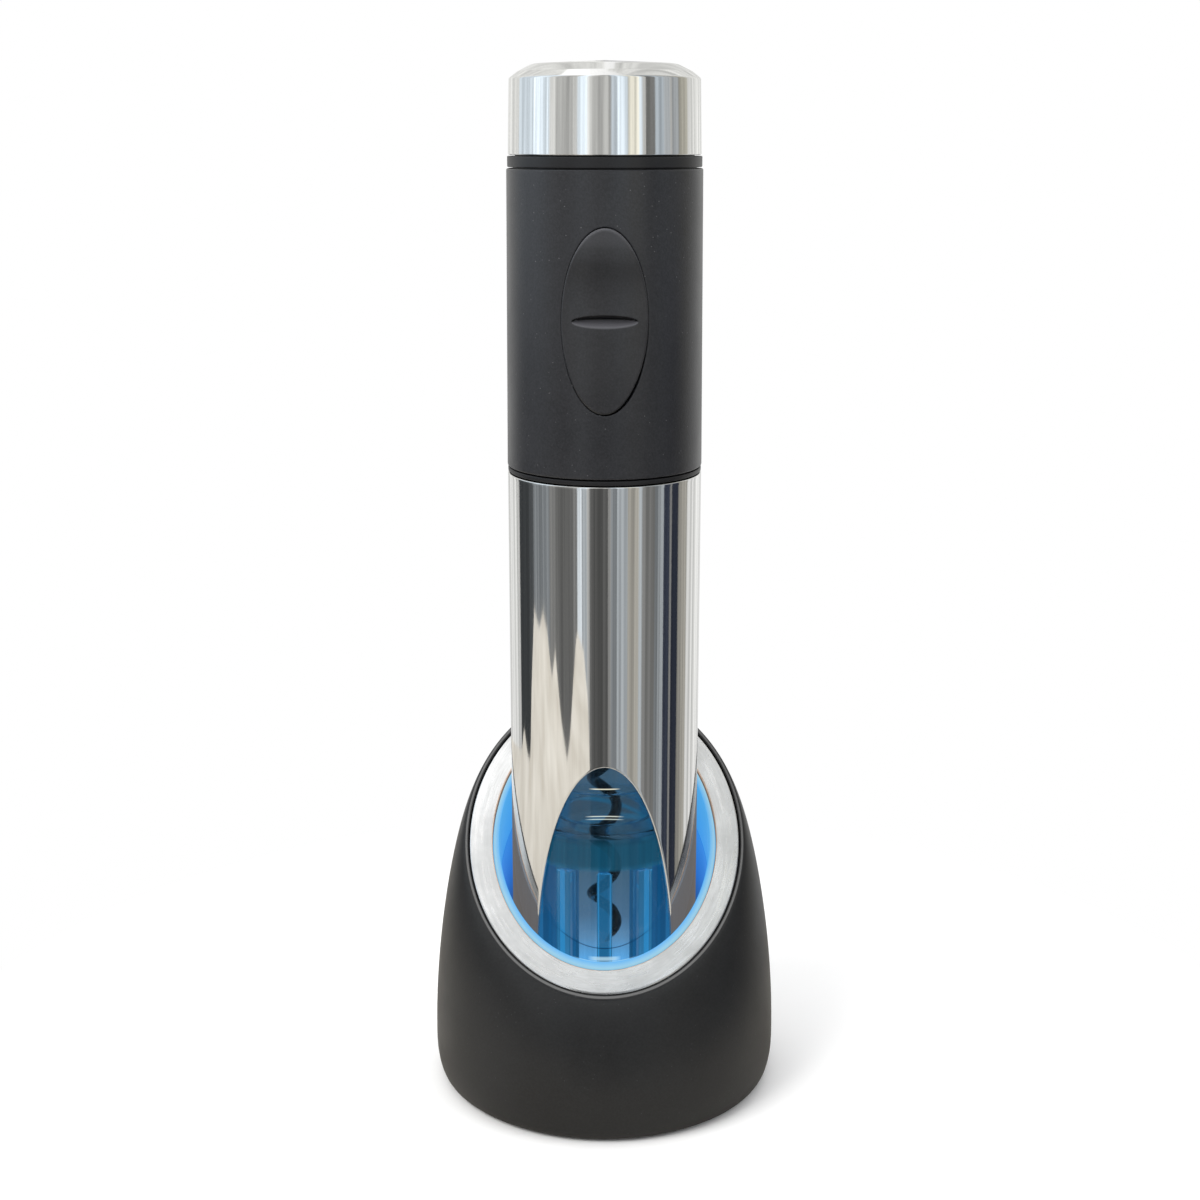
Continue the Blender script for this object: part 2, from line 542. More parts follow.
# Clear tinted plastic lit from the ring round its foot. The far wall glows where the eye meets its
# inner side from the air, by the zones' heights, crossed by slanted lines and teal towards the sides.
# The ribs are denser and glow by themselves, a frosted band lies across the wall, and short glints
# run round the outside of the front. Heights and radii are in metres.
def tintedPlastic(name, look):
    finish = Finish(name, look["tint"], 0.03, Transmission_Weight=1.0, IOR=1.3)
    tree = finish.tree
    split = tree.nodes.new("ShaderNodeSeparateXYZ")
    tree.links.new(finish.place, split.inputs[0])
    x, y, z = split.outputs["X"], split.outputs["Y"], split.outputs["Z"]
    sideways = mathNode(tree, "ABSOLUTE", x)
    radius = finish.group(slantGroup)["Radius"]
    streaks = finish.group(brushGroup, finish.stretched((700, 700, 25)))
    zones, innerR = look["zones"], look["innerR"]
    glow = zones[0][1]
    for (before, _), (height, shade) in zip(zones, zones[1:]):
        glow = finish.mix(finish.span(z, before, height, 0, 1), glow, shade)
    glow = finish.mix(finish.span(sideways, 0.0100, 0.0130, 0, 0.85), glow, look["sideGlow"])
    for height, slope, width, shade in look["lines"]:
        level = mathNode(tree, "ADD", z, mathNode(tree, "MULTIPLY", x, slope))
        away = mathNode(tree, "ABSOLUTE", mathNode(tree, "SUBTRACT", level, height))
        glow = finish.mix(finish.span(away, width * 0.5, width, 0.8, 0), glow, shade)
    glow = finish.mix(finish.span(streaks["Lines"], 0.35, 0.75, 0, 0.3), glow, look["sideGlow"])
    facing = tree.nodes.new("ShaderNodeNewGeometry").outputs["Backfacing"]
    inner = finish.span(radius, innerR - 0.0001, innerR + 0.0001, 1, 0)
    glow = finish.mix(mathNode(tree, "MULTIPLY", inner, finish.span(facing, 0, 1, 1, 0)), (0, 0, 0), glow)

    onRib = finish.span(radius, look["ribR"], look["ribR"] + 0.0003, 1, 0)
    ribGlow = finish.mix(finish.span(z, 0.020, 0.062, 0, 1), times(look["ribGlow"], 1.5), look["ribGlow"])
    glow = finish.mix(onRib, glow, ribGlow)
    through = finish.mix(onRib, look["tint"], times(look["tint"], 0.15))

    low, high, bandTint, bandGlow = look["band"]
    inBand = mathNode(tree, "MULTIPLY", finish.span(z, low, low + 0.0008, 0, 1),
                      finish.span(z, high - 0.0035, high, 1, 0))
    through = finish.mix(inBand, through, bandTint)
    outer = mathNode(tree, "MULTIPLY", inBand, finish.span(radius, innerR, innerR + 0.001, 0, 1))
    banded = finish.mix(finish.span(streaks["Lines"], 0.3, 0.7, 0, 1), times(bandGlow, 0.7), bandGlow)
    glow = finish.mix(outer, glow, banded)

    onFront = mathNode(tree, "MULTIPLY", finish.span(y, -0.001, 0, 1, 0),
                       finish.span(radius, innerR + 0.0002, innerR + 0.0005, 0, 1))
    for height, bend, halfWidth, width, shade in look["glints"]:
        bow = mathNode(tree, "MULTIPLY", mathNode(tree, "MULTIPLY", x, x), bend)
        level = mathNode(tree, "SUBTRACT", z, bow)
        away = mathNode(tree, "ABSOLUTE", mathNode(tree, "SUBTRACT", level, height))
        ends = finish.span(sideways, halfWidth * 0.6, halfWidth, 1, 0)
        line = mathNode(tree, "MULTIPLY", finish.span(away, width * 0.4, width, 1, 0), ends)
        here = mathNode(tree, "MULTIPLY", line, onFront)
        glow = finish.mix(here, glow, shade)
        through = finish.mix(here, through, (0.02, 0.03, 0.04))
    finish.colourIs(through)
    finish.glowIs(glow)
    finish.roughnessFrom(streaks["Cloud"], 0.02, 0.08)
    finish.bump(streaks["Lines"], 0.00001, 0.2)
    return finish.material


# near-black coating, paler where a broad noise is high
def coatedSteel(name, colour=(0.006, 0.006, 0.007), roughness=0.28):
    finish = Finish(name, colour, roughness, 0.0, Coat_Weight=0.4)
    grain = finish.group(grainGroup, Fine_Scale=1500, Broad_Scale=200)
    finish.colourFrom(finish.span(grain["Tone"], 0.55, 0.8, 0, 1), colour, (0.035, 0.035, 0.038))
    finish.roughnessFrom(grain["Tone"], roughness - 0.06, roughness + 0.12)
    finish.bump(grain["Grain"], 0.00001, 0.4)
    return finish.material


# turned, drawn or stamped metal: fine lines in tone and gloss, with a stain in patches
def machinedMetal(name, colour, roughness, stretch=(900, 900, 900), stain=(0.2, 0.18, 0.15)):
    finish = Finish(name, colour, roughness, 1.0)
    lines = finish.group(brushGroup, finish.stretched(stretch))
    tone = finish.mix(finish.span(lines["Lines"], 0.3, 0.7, 0, 1), times(colour, 0.82), times(colour, 1.08))
    tone = finish.mix(finish.span(lines["Cloud"], 0.55, 0.8, 0, 0.35), tone, stain)
    finish.colourIs(tone)
    finish.roughnessFrom(lines["Lines"], roughness - 0.06, roughness + 0.1)
    finish.bump(lines["Lines"], 0.00001, 0.4)
    return finish.material


# solder mask over copper tracks: bands of a wave pattern lie a little proud and a little lighter
def circuitBoard(name):
    finish = Finish(name, (0.02, 0.13, 0.05), 0.35, Coat_Weight=0.5)
    tracks = finish.tree.nodes.new("ShaderNodeTexWave")
    tracks.wave_type = "BANDS"
    tracks.inputs["Scale"].default_value = 260
    tracks.inputs["Distortion"].default_value = 3.5
    tracks.inputs["Detail"].default_value = 0
    finish.tree.links.new(finish.place, tracks.inputs["Vector"])
    line = finish.span(tracks.outputs["Fac"], 0.72, 0.78, 0, 1)
    finish.colourFrom(line, (0.018, 0.11, 0.04), (0.05, 0.24, 0.08))
    finish.bump(line, 0.00003, 0.5)
    return finish.material


# heat-shrink sleeve on a cell: an orange band below the height high, faint creases along it
def shrinkWrap(name, high):
    finish = Finish(name, (0.03, 0.20, 0.09), 0.28, Coat_Weight=0.3)
    split = finish.tree.nodes.new("ShaderNodeSeparateXYZ")
    finish.tree.links.new(finish.place, split.inputs[0])
    band = finish.span(split.outputs["Z"], high - 0.012, high - 0.0118, 0, 1)
    creases = finish.group(brushGroup, finish.stretched((700, 700, 60)))
    tone = finish.mix(finish.span(creases["Lines"], 0.3, 0.7, 0, 1), (0.025, 0.17, 0.075), (0.04, 0.24, 0.11))
    finish.colourIs(finish.mix(band, tone, (0.60, 0.42, 0.12)))
    finish.roughnessFrom(creases["Cloud"], 0.22, 0.4)
    finish.bump(creases["Lines"], 0.00003, 0.4)
    return finish.material


# The looks of the two clear pieces, heights above the floor and radii in metres. A zone is a height and
# the far wall's glow there; a line is its height on the axis, slope, width and glow; a glint its
# height, bend, half length, width and glow; the band its foot, top, tint and glow.
barrelLook = {
    "tint": (0.20, 0.36, 0.47), "sideGlow": (0.04, 0.24, 0.40), "ribGlow": (0.018, 0.135, 0.26),
    "ribR": 0.0195, "innerR": 0.0227, "band": (0.0670, 0.0775, (0.02, 0.045, 0.06), (0.006, 0.070, 0.128)),
    "zones": (
        (0.018, (0.60, 1.40, 2.20)), (0.029, (0.46, 0.66, 0.92)), (0.036, (0.30, 0.36, 0.48)),
        (0.048, (0.23, 0.27, 0.33)), (0.056, (0.08, 0.20, 0.27)), (0.066, (0.165, 0.185, 0.21)),
        (0.082, (0.24, 0.19, 0.19)),
    ),
    "lines": (
        (0.0700, 0.16, 0.0007, (0.06, 0.34, 0.50)), (0.0655, -0.13, 0.0009, (0.06, 0.30, 0.44)),
        (0.0620, 0.10, 0.0006, (0.06, 0.34, 0.50)),
    ),
    "glints": (
        (0.0454, 28, 0.0170, 0.00022, (0, 0.012, 0.045)), (0.0424, 6, 0.0045, 0.00075, (0.34, 0.52, 0.62)),
        (0.0414, 14, 0.0090, 0.00030, (0.28, 0.50, 0.66)), (0.0903, 0, 0.0042, 0.00020, (0.80, 0.78, 0.62)),
        (0.0828, -12, 0.0052, 0.00020, (0.62, 0.66, 0.58)), (0.0820, -12, 0.0052, 0.00018, (0.52, 0.60, 0.56)),
    ),
}
guideLook = {
    "tint": (0.75, 0.84, 0.88), "sideGlow": (0.02, 0.06, 0.08), "ribGlow": (0, 0, 0),
    "ribR": 0.0100, "innerR": 0.0125, "band": (0.0, 0.001, (0.5, 0.5, 0.5), (0, 0, 0)),
    "zones": ((0.074, (0.02, 0.06, 0.08)), (0.085, (0.04, 0.06, 0.08))), "lines": (), "glints": (),
}

finishes = {
    "stand_shell": mouldedPlastic(
        "standShellMatt", (0.0095, 0.0096, 0.0100), 0.42, fineScale=1700, specular=0.38, dust=0.12,
        mottle=0.22, lip=sideWiden),
    "trim_ring": brushedRing("rimBrushed"),
    "light_ring": glowingPlastic(
        "lightGuideLit", (0.03, 0.06, 0.10), 0.35, (0.30, 0.55, 0.66), (0.062, 0.37, 0.78), (0.034, 0.31, 0.80),
        (0.0002, 0.0026, 0.014, 0.040)),
    "well_cup": glowingPlastic(
        "wellLit", (0.006, 0.012, 0.022), 0.3, (0.030, 0.27, 0.78), (0.024, 0.23, 0.74), (0.012, 0.15, 0.60),
        (0.010, 0.018, 0.028, 0.048)),
    "base_plate": mouldedPlastic("basePlateMatt", (0.012, 0.012, 0.013), 0.6),
    "foot": mouldedPlastic(
        "footRubber", (0.010, 0.010, 0.010), 0.85, grainDepth=0.00005, fineScale=1600, specular=0.25),
    "base_screw": machinedMetal("screwZinc", (0.60, 0.61, 0.62), 0.32),
    "circuit_board": circuitBoard("boardMask"),
    "dc_jack": mouldedPlastic("inletSatin", (0.008, 0.008, 0.009), 0.4),
    "contact_brass": machinedMetal("contactBrass", (0.83, 0.60, 0.24), 0.25, stain=(0.35, 0.22, 0.10)),
    "spring_steel": machinedMetal("springWire", (0.62, 0.62, 0.63), 0.28),
    "top_cap": polishedSteel("capPolished", (0.82, 0.82, 0.81), 0.08),
    "seam_ring": mouldedPlastic("seamSatin", (0.007, 0.007, 0.008), 0.42),
    "grip_sleeve": mouldedPlastic(
        "gripSoftTouch", (0.0115, 0.0118, 0.0138), 0.36, grainDepth=0.00004, fineScale=1900,
        specular=0.5, dust=0.4, mottle=0.35),
    "rocker_button": mouldedPlastic(
        "rockerSatin", (0.0130, 0.0130, 0.0145), 0.36, grainDepth=0.00003, fineScale=1900,
        specular=0.5, mottle=0.3, lean=True),
    "steel_sleeve": polishedSteel("sleevePolished"),
    "clear_barrel": tintedPlastic("barrelTinted", barrelLook),
    "cork_guide": tintedPlastic("guideTinted", guideLook),
    "worm": coatedSteel("wormCoating"),
    "worm_hub": machinedMetal("hubTurned", (0.45, 0.46, 0.47), 0.35),
    "chassis": mouldedPlastic("chassisPlastic", (0.015, 0.015, 0.017), 0.55),
    "battery_cell": shrinkWrap("cellWrap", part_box("battery_cell_1")[1].z),
    "switch_body": mouldedPlastic("switchPlastic", (0.01, 0.01, 0.01), 0.45),
    "gear_nylon": mouldedPlastic("gearNylon", (0.72, 0.70, 0.62), 0.42, specular=0.5),
    "gear_steel": machinedMetal("gearSintered", (0.42, 0.42, 0.43), 0.42),
    "motor_can": machinedMetal("motorCanDrawn", (0.62, 0.63, 0.64), 0.30, stretch=(1600, 1600, 20)),
    "motor_plate": machinedMetal("motorPlateStamped", (0.55, 0.56, 0.57), 0.36),
    "gearbox_cover": mouldedPlastic("gearboxPlastic", (0.015, 0.015, 0.017), 0.5),
}
slotOf = {part["node"]: part["material_slot"] for part in frame["record"]["subparts"]}
for node, thing in frame["nodes"].items():
    thing.data.materials.clear()
    thing.data.materials.append(finishes[slotOf[node]])
print("finishes made:", len(finishes))


# the piece takes its node's finish, slot and body, and stands in for that node
def settle(piece, body, node):
    piece.data.materials.append(finishes[slotOf[node]])
    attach(piece, body)
    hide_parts(node)


capShape = {
    "bottom": 251.3, "innerR": 23.0, "bottomR": 24.5, "cornerR": 24.1, "cornerZ": 269.9, "top": 274.3,
    "hollowTop": 272.1, "hollowR": 16, "hollowZ": 271.6, "hollowCornerZ": 268.4, "bevelR": 22.0,
    "bevelZ": 271.5, "domeR": 18.4, "domeZ": 273.3,
}


# A hollow cap turned round Z: a wall that leans in a little, a bevel, then a shallow dome. Straight
# lines join the corners (r, z), and each corner is an arc.
def makeCap():
    c = capShape
    profile = softCorners([
        (0, c["hollowTop"]), (c["hollowR"], c["hollowZ"], 2), (c["innerR"], c["hollowCornerZ"], 1),
        (c["innerR"], c["bottom"], 0.15), (c["bottomR"], c["bottom"], 0.3), (c["cornerR"], c["cornerZ"], 0.7),
        (c["bevelR"], c["bevelZ"], 1.2), (c["domeR"], c["domeZ"], 3.5), (0, c["top"]),
    ])
    settle(turned("capShell", profile, 256), "opener", "top_cap")


seamShape = {
    "innerR": 21.5, "collarR": 22.7, "ledgeR": 23.3, "outerR": 24.7, "foot": 247.0, "ledge": 248.3,
    "top": 251.0, "collarTop": 254, "soft": 0.25,
}
lowerSeamShape = {"innerR": 23.6, "outerR": 25.3, "foot": 170.8, "top": 172.0, "innerSoft": 0.1, "soft": 0.3}


# Two rings turned round Z. The upper one's section is a band that steps in to a ledge below and to a
# collar above, the lower one's is a rectangle.
def makeSeams():
    u, b = seamShape, lowerSeamShape
    upper = softCorners([
        (u["innerR"], u["foot"]), (u["ledgeR"], u["foot"]), (u["ledgeR"], u["ledge"]),
        (u["outerR"], u["ledge"], u["soft"]), (u["outerR"], u["top"], u["soft"]), (u["collarR"], u["top"]),
        (u["collarR"], u["collarTop"]), (u["innerR"], u["collarTop"]),
    ], closed=True)
    settle(turned("capSeam", upper, 256, ring=True), "opener", "cap_seam_ring")
    lower = softCorners([
        (b["innerR"], b["foot"], b["innerSoft"]), (b["outerR"], b["foot"], b["soft"]),
        (b["outerR"], b["top"], b["soft"]), (b["innerR"], b["top"], b["innerSoft"]),
    ], closed=True)
    settle(turned("gripSeam", lower, 256, ring=True), "opener", "lower_seam_ring")


gripShape = {
    "outerR": 25.45, "topR": 24.95, "innerR": 23.6, "bottom": 172.3, "top": 248.0, "endRadius": 0.45,
    "holeX": 10.92, "holeZ": 22.92, "holeRadius": 0.35, "holeMiddle": 211.4,
}


# The grip is a tube, a little slimmer at the top, with an oval hole. Its outer radius drops by a quarter
# round at both ends and round the hole: r = R - taper - drop(distance to the end) - drop(distance to the oval).
def makeGrip():
    g = gripShape
    climb = np.sin(np.linspace(-pi / 2, pi / 2, 120)) * g["holeZ"]
    ends = np.array([0, 0.03, 0.1, 0.2, 0.32, 0.45, 1.0])
    near = np.array([0.04, 0.12, 0.25, 0.4, 0.55])
    z = np.concatenate([
        g["bottom"] + ends, np.linspace(g["bottom"] + 3, g["holeMiddle"] - g["holeZ"] - 2, 5),
        g["holeMiddle"] - g["holeZ"] - near[::-1], g["holeMiddle"] + climb,
        g["holeMiddle"] + g["holeZ"] + near, np.linspace(g["holeMiddle"] + g["holeZ"] + 2, g["top"] - 3, 5),
        g["top"] - ends[::-1],
    ])
    inHole = np.clip(1 - ((z - g["holeMiddle"]) / g["holeZ"]) ** 2, 0, 1)
    frontEdge = np.arcsin(g["holeX"] * np.sqrt(inHole) / g["outerR"])
    share = np.concatenate([[0, 0.0004, 0.0011, 0.0022, 0.0038, 0.0060, 0.0085], np.linspace(0.013, 1, 110)])
    level = z[:, None]

    def outside(angle):
        away = ellipseDistance(g["outerR"] * np.sin(angle), level - g["holeMiddle"], g["holeX"], g["holeZ"])
        away = np.where(angle > pi / 2, 9, away)
        fromEnd = np.minimum(level - g["bottom"], g["top"] - level)
        taper = (g["outerR"] - g["topR"]) * (level - g["bottom"]) / (g["top"] - g["bottom"])
        return g["outerR"] - taper - edgeDrop(fromEnd, g["endRadius"]) - edgeDrop(away, g["holeRadius"]), level

    def inside(angle):
        return g["innerR"] + 0 * angle, level

    piece = openWall("gripShell", frontEdge, 0 * frontEdge, share, outside, inside)
    settle(piece, "opener", "grip_sleeve")


rockerShape = {
    "middle": 211.4, "halfX": 10.8, "halfZ": 22.8, "back": 22.0, "edge": 0.4,
    "faceR": 25.55, "crestZ": 16.8, "crest": 1.05, "crestWidth": 5.5,
    "dish": 0.45, "dishZ": 6, "dishWidth": 7, "swell": 0.25, "swellZ": -15, "swellWidth": 7,
    "notchAt": -50, "notchWidth": 34, "notch": 0.045,
    "grooveZ": 0.2, "grooveX": 8.2, "grooveHalf": 1.75, "grooveDepth": 2.1, "grooveFloor": 0.25,
}


# The rocker's front is a cylinder whose radius is face + crest bump - dish bump + swell bump - groove -
# rim drop. A bump is exp(-((z - its middle) / its width)^2), the groove is a smooth V in a lens-shaped
# outline, and the rim is a quarter round. rho runs from the middle to the rim, t round the oval
# x = a rho cos t, z = b rho sin t, which pulls in a little at the lower right.
def makeRocker():
    k = rockerShape
    rho = np.concatenate([np.linspace(0, 0.9, 120), 1 - np.linspace(0.31, 0, 24)[1:] ** 2])
    t = np.arange(400) / 400 * 2 * pi
    fromNotch = (np.degrees(t) - k["notchAt"] + 180) % 360 - 180
    pull = 1 - k["notch"] * np.exp(-(fromNotch / k["notchWidth"]) ** 2) * rho[:, None] ** 6
    x = k["halfX"] * rho[:, None] * np.cos(t) * pull
    z = k["halfZ"] * rho[:, None] * np.sin(t) * (1 - (1 - pull) * 0.5)
    radius = k["faceR"] + k["crest"] * np.exp(-((z - k["crestZ"]) / k["crestWidth"]) ** 2)
    dish = k["dish"] * np.exp(-((z - k["dishZ"]) / k["dishWidth"]) ** 2) * (1 - (x / k["halfX"]) ** 2)
    radius = radius - dish + k["swell"] * np.exp(-((z - k["swellZ"]) / k["swellWidth"]) ** 2)
    half = k["grooveHalf"] * np.sqrt(np.clip(1 - (x / k["grooveX"]) ** 2, 1e-6, 1))
    across = (z - k["grooveZ"]) / half
    floor = k["grooveFloor"]
    vee = np.where(across > floor, (1 - across) / (1 - floor), (1 + across) / (1 + floor))
    taper = np.sqrt(np.clip(1 - (x / k["grooveX"]) ** 2, 0, 1))
    vee = np.clip(vee, 0, 1)
    radius = radius - k["grooveDepth"] * vee * vee * (3 - 2 * vee) * taper
    away = (1 - rho[:, None]) * k["halfX"] * 0.98
    radius = radius - edgeDrop(away, k["edge"])
    y = -np.sqrt(radius ** 2 - x ** 2)
    front = np.stack([x, y, z + k["middle"]], -1)
    rim = front[-1:]
    steps = np.array([0.3, 1.0])[:, None, None]
    wall = rim * (1 - steps) + np.where([False, True, False], -k["back"], rim) * steps
    centre = np.array([0, -k["back"], k["middle"]])
    back = centre + (wall[-1:] - centre) * np.array([0.6, 0.0])[:, None, None]
    points = np.concatenate([front, wall, back]) * mm
    piece = makePiece("rockerFace", points, gridFaces(len(points), 400, False, True)[:, ::-1], 40)
    settle(piece, "rocker", "rocker_button")


sleeveShape = {
    "outerR": 25.4, "innerR": 24.5, "bottom": 14.3, "top": 170.5, "endRadius": 0.3,
    "halfWidth": 18.5, "spring": 36.5, "apex": 96.5, "edgeRadius": 0.35,
}


# Front and back of the sleeve are open: x = w sqrt(1 - ((z - spring) / (apex - spring))^2) above the
# spring line and straight down from it. The outer edge of each window is rounded.
def makeSleeve():
    s = sleeveShape
    arch = s["apex"] - s["spring"]
    near = np.array([0.05, 0.15, 0.3, 0.5])
    z = np.concatenate([
        s["bottom"] + np.array([0, 0.12, 0.3, 1]), np.linspace(s["bottom"] + 4, s["spring"] - 3, 6),
        s["spring"] + arch * np.sin(np.linspace(0, pi / 2, 110)), s["apex"] + near,
        np.linspace(s["apex"] + 2, s["top"] - 1, 24), s["top"] - np.array([0.3, 0.2, 0.1, 0.03, 0]),
    ])
    opening = np.clip(1 - (np.maximum(z - s["spring"], 0) / arch) ** 2, 0, 1)
    edge = np.arcsin(s["halfWidth"] * np.sqrt(opening) / s["outerR"])
    edge[z > s["apex"] - 1e-6] = 0
    fine = np.array([0, 0.0008, 0.0018, 0.0032, 0.005, 0.0075])
    share = np.concatenate([fine, np.linspace(0.015, 0.985, 120), 1 - fine[::-1]])
    level = z[:, None]

    def outside(angle):
        x = s["outerR"] * np.sin(angle)
        curved = ellipseDistance(x, level - s["spring"], s["halfWidth"], arch)
        away = np.where(level > s["spring"], curved, np.abs(x) - s["halfWidth"])
        fromEnd = np.minimum(level - s["bottom"], s["top"] - level)
        return s["outerR"] - edgeDrop(away, s["edgeRadius"]) - edgeDrop(fromEnd, s["endRadius"]), level

    def inside(angle):
        return s["innerR"] + 0 * angle, level

    settle(openWall("sleeveShell", edge, edge, share, outside, inside), "opener", "steel_sleeve")


barrelShape = {
    "outerR": 24.2, "rootR": 21.2, "tipR": 17.2, "bottom": 14.3, "top": 112.2, "ribTop": 65.0,
    "ribs": 12, "ribHalf": 4.4, "ribBlend": 0.9, "soft": 0.4,
}


# The barrel is a tube with ribs inside its lower part: the inner radius is root - (root - tip) * rib(a),
# where rib is 1 on a rib, 0 between ribs, and blends over a degree at each flank.
def makeBarrel():
    b = barrelShape
    pitch = 360 / b["ribs"]
    flank = b["ribHalf"] + b["ribBlend"] * np.array([0, 1 / 3, 2 / 3, 1])
    local = np.concatenate([[-pitch / 2, -11, -8], -flank[::-1], [-2.2, 0, 2.2], flank, [8, 11]])
    degrees = (np.arange(b["ribs"])[:, None] * pitch + local[None, :]).ravel()
    rib = np.tile(np.clip((flank[-1] - np.abs(local)) / b["ribBlend"], 0, 1), b["ribs"])
    rib = rib * rib * (3 - 2 * rib)
    a = np.radians(degrees - 90)
    low = b["rootR"] - (b["rootR"] - b["tipR"]) * rib
    root, s = b["rootR"] + 0 * rib, b["soft"]
    outer = b["outerR"] + 0 * rib
    columns = [
        (outer - s, b["bottom"]), (outer, b["bottom"] + s), (outer, 60.0), (outer, b["top"] - s),
        (outer - s, b["top"]), (root + s, b["top"]), (root, b["top"] - s), (root, b["ribTop"] + 0.6),
        (root * 0.6 + low * 0.4, b["ribTop"] + 0.3), (low, b["ribTop"] - 0.4), (low, 40.0),
        (low, b["bottom"] + s), (low + s, b["bottom"]),
    ]
    r = np.stack([c[0] for c in columns], 1)
    z = np.broadcast_to(np.array([c[1] for c in columns]), r.shape)
    points = np.stack([r * np.cos(a)[:, None], r * np.sin(a)[:, None], z], -1) * mm
    piece = makePiece("barrelShell", points, gridFaces(len(a), len(columns), True, True), 25)
    settle(piece, "opener", "clear_barrel")


corkGuideShape = {"innerR": 12, "tubeR": 13.6, "flangeR": 20.9, "foot": 75, "flangeTop": 76.5, "top": 85}


# a tube with a flange round its foot, turned round Z; straight lines join the corners (r, z)
def makeCorkGuide():
    g = corkGuideShape
    profile = softCorners([
        (g["innerR"], g["foot"], 0.4), (g["flangeR"], g["foot"], 0.4), (g["flangeR"], g["flangeTop"], 0.4),
        (g["tubeR"], g["flangeTop"], 0.6), (g["tubeR"], g["top"], 0.5), (g["innerR"], g["top"], 0.5),
    ], closed=True)
    settle(turned("guideRing", profile, 160, ring=True, sharpAngle=50), "opener", "cork_guide")


wormShape = {
    "helixR": 3.4, "wireR": 1.45, "pitch": 17, "phaseZ": 77, "pointZ": 38.8, "leaveZ": 95.5, "joinZ": 101,
    "top": 106, "taper": 9.0,
}


# x = R cos t, y = R sin t, z = phase + pitch t / 2 pi; R closes on the axis at the top, and the wire
# sharpens to its point over the last stretch
def makeWorm():
    w = wormShape
    pointTop = w["pointZ"] + 3
    z = np.concatenate([np.linspace(w["pointZ"], pointTop, 30)[:-1], np.linspace(pointTop, w["top"], 330)])
    t = 2 * pi * (z - w["phaseZ"]) / w["pitch"]
    blend = np.clip((z - w["leaveZ"]) / (w["joinZ"] - w["leaveZ"]), 0, 1)
    radius = w["helixR"] * (1 - blend * blend * (3 - 2 * blend))
    path = np.stack([radius * np.cos(t), radius * np.sin(t), z], -1) * mm
    thick = w["wireR"] * np.clip((z - w["pointZ"]) / w["taper"] * 2.2 + 0.02, 0, 1) ** 0.6
    thick[[0, -1]] = 0
    settle(sweptTube("wormWire", path, thick * mm, 24), "worm_output", "worm")


hubShape = {
    "boreR": 1.8, "noseR": 4, "outerR": 6, "shaftR": 2.8, "noseZ": 101.5, "coneZ": 103, "boreTop": 106.5,
    "floorTop": 107.7, "top": 111.5,
}


# a turned boss with a bore from below for the worm and one from above for the shaft
def makeHub():
    h = hubShape
    profile = softCorners([
        (0, h["boreTop"]), (h["boreR"], h["boreTop"]), (h["boreR"], h["noseZ"], 0.2),
        (h["noseR"], h["noseZ"], 0.3), (h["outerR"], h["coneZ"], 0.4), (h["outerR"], h["top"], 0.3),
        (h["shaftR"], h["top"], 0.2), (h["shaftR"], h["floorTop"]), (0, h["floorTop"]),
    ])
    settle(turned("hubTurnedPart", profile, 96), "worm_output", "worm_hub")


makeCap()
makeSeams()
makeGrip()
makeRocker()
makeSleeve()
makeBarrel()
makeCorkGuide()
makeWorm()
makeHub()
print("opener made")


standShape = {
    "foot": 0.8, "footR": 44.4, "widestR": 47.2, "widestZ": 10.9, "wall": 2.4, "rise": 2.1, "sweep": 1.38,
    "rim": rimZ, "lipOuter": 37.4, "lipInner": 36.3, "lipDepth": 1.6,
    "plateR": 42.0, "ledgeZ": 3.7, "jackZ": 12.5, "jackR": 4.3,
}


# One wall of the stand: from the widest height up, r = lip + (widest - lip)(1 - s^rise)^(1/sweep) and
# z = widestZ + s (lip height - widestZ), and the lip's height is rim + slope * y. Under the widest
# height the wall curls in to the foot as a quarter of an ellipse.
def wallOf(angle, s, lipR, widestR, rim):
    k = standShape
    r = lipR + (widestR - lipR) * np.clip(1 - s ** k["rise"], 0, 1) ** (1 / k["sweep"])
    lipZ = rim - slantSlope * lipR * np.cos(angle)
    return r + 0 * angle, k["widestZ"] + s * (lipZ - k["widestZ"])


